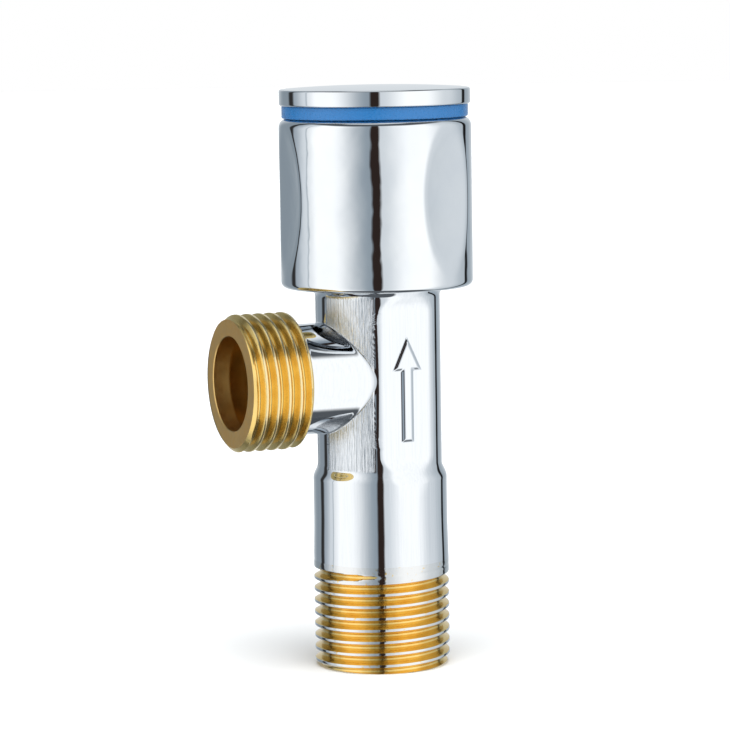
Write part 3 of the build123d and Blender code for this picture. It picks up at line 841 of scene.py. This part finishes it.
board = {"radius": 3000, "thickness": 2, "sides": 96}
floorShell = newShell()
floorAngles = np.radians(np.arange(board["sides"]) * 360 / board["sides"] - 180)
turned(floorShell, [(0, -board["thickness"]), (board["radius"], -board["thickness"]), (board["radius"], 0),
                    (0, 0)], floorAngles, closed=False)
floorMesh = bpy.data.meshes.new("floor")
floorMesh.from_pydata((np.concatenate(floorShell["points"]) / 1000).tolist(), [], floorShell["faces"])
floor = bpy.data.objects.new("floor", floorMesh)
scene.collection.objects.link(floor)
floor.visible_glossy = False
# painted board: matt, near-white, faintly uneven
floorFinish, tree, shader, place = newMaterial("matt_white_board", "#F6F6F5", 0.0, 0.9)
tone = node(tree, "ShaderNodeTexNoise", {"Vector": place, "Scale": perMetre(60)})
shade = node(tree, "ShaderNodeMix", {"Factor": tone[0], 6: linear("#F4F4F3"), 7: linear("#F8F8F7")},
             data_type="RGBA")
tree.links.new(shade[2], shader.inputs["Base Color"])
floorMesh.materials.append(floorFinish)

# the soft studio, by the angle from the camera, positive to its right. Each soft box fades in, is full
# and fades out, with a level for its start, its full part and its end, and the one behind runs past 180.
# The wall shows beside two of them, the join is a seam in the left box, and the gaps are dark stands
studio = {
    "boxes": {
        "left": {"angles": (-112, -74, -55, -7), "levels": (165, 255, 150)},
        "right": {"angles": (7, 42, 62, 96), "levels": (210, 255, 210)},
        "behind": {"angles": (140, 180, -180, -140), "levels": (160, 205, 140)},
    },
    "wall": [(-128, 140), (128, 180)],
    "join": [(-92, 215), (-90, 170), (-88, 230)],
    "gaps": [(-123, -117, "#2E2E2E"), (-4.5, 4.5, "#2C2320"), (131, 136, "#161616")],
    "boxTop": (40, 50), "boxFoot": (-60, -52), "above": 84, "below": 84,
    "skylightEdge": (66, 74), "skylight": 214,
    "strength": 1.27, "overheadLight": 3.3,
}


def grey(level):
    # a grey from its sRGB level, bluest in the middle tones
    blue = max(0, 11 - abs(level - 150) / 10)
    return linear("#%02X%02X%02X" % (round(level - blue), level, round(level + blue * 0.8)))


world = bpy.data.worlds.new("soft_studio")
scene.world = world
world.use_nodes = True
tree = world.node_tree
tree.nodes.clear()
heading = math.radians(view["azimuth"])
direction = node(tree, "ShaderNodeTexCoord", {})["Generated"]
toSide = node(tree, "ShaderNodeVectorMath", {0: direction, 1: (math.cos(heading), -math.sin(heading), 0)},
              operation="DOT_PRODUCT")["Value"]
toFront = node(tree, "ShaderNodeVectorMath", {0: direction, 1: (-math.sin(heading), -math.cos(heading), 0)},
               operation="DOT_PRODUCT")["Value"]
turn = node(tree, "ShaderNodeMath", {0: toSide, 1: toFront}, operation="ARCTAN2")[0]
share = node(tree, "ShaderNodeMapRange", {"Value": turn, "From Min": -math.pi, "From Max": math.pi})[0]
ramp = tree.nodes.new("ShaderNodeValToRGB")
tree.links.new(share, ramp.inputs[0])
ramp.color_ramp.interpolation = "EASE"
marks = [(angle, linear(shade)) for *edges, shade in studio["gaps"] for angle in edges]
for box in studio["boxes"].values():
    start, full, end = (grey(level) for level in box["levels"])
    marks += zip(box["angles"], (start, full, full, end))
marks += [(angle, grey(level)) for angle, level in studio["wall"] + studio["join"]]
stops = ramp.color_ramp.elements
for step, (angle, colour) in enumerate(sorted(marks)):
    stop = stops[step] if step < 2 else stops.new(1.0)
    stop.position = (angle + 180) / 360
    stop.color = colour
upness = node(tree, "ShaderNodeSeparateXYZ", {"Vector": direction})["Z"]
limits = []
for (start, end), (inner, outer) in (
        (studio["boxTop"], (1, 0)), (studio["boxFoot"], (0, 1)), (studio["skylightEdge"], (0, 1))):
    limits.append(node(tree, "ShaderNodeMapRange", {
        "Value": upness, "From Min": math.sin(math.radians(start)), "From Max": math.sin(math.radians(end)),
        "To Min": inner, "To Max": outer}, interpolation_type="SMOOTHSTEP")[0])
lower = node(tree, "ShaderNodeMix", {"Factor": limits[1], 6: grey(studio["below"]), 7: ramp.outputs[0]},
             data_type="RGBA")[2]
above = node(tree, "ShaderNodeMix", {
    "Factor": limits[2], 6: grey(studio["above"]), 7: grey(studio["skylight"])}, data_type="RGBA")[2]
around360 = node(tree, "ShaderNodeMix", {"Factor": limits[0], 6: above, 7: lower}, data_type="RGBA")[2]
seen = node(tree, "ShaderNodeLightPath", {})["Is Camera Ray"]
glow = node(tree, "ShaderNodeBackground", {"Color": around360, "Strength": studio["strength"]})[0]
backdrop = node(tree, "ShaderNodeBackground", {"Color": (1, 1, 1, 1), "Strength": 1.0})[0]
both = node(tree, "ShaderNodeMixShader", {0: seen, 1: glow, 2: backdrop})[0]
node(tree, "ShaderNodeOutputWorld", {"Surface": both})

lampData = bpy.data.lights.new("overhead_light", "SUN")
lampData.angle = math.radians(50)
lampData.energy = studio["overheadLight"]
lamp = bpy.data.objects.new("overhead_light", lampData)
lamp.rotation_euler = Vector((0.15, 0.3, -1)).to_track_quat("-Z", "Y").to_euler()
lamp.visible_glossy = False
scene.collection.objects.link(lamp)
print("stage, light and camera set")
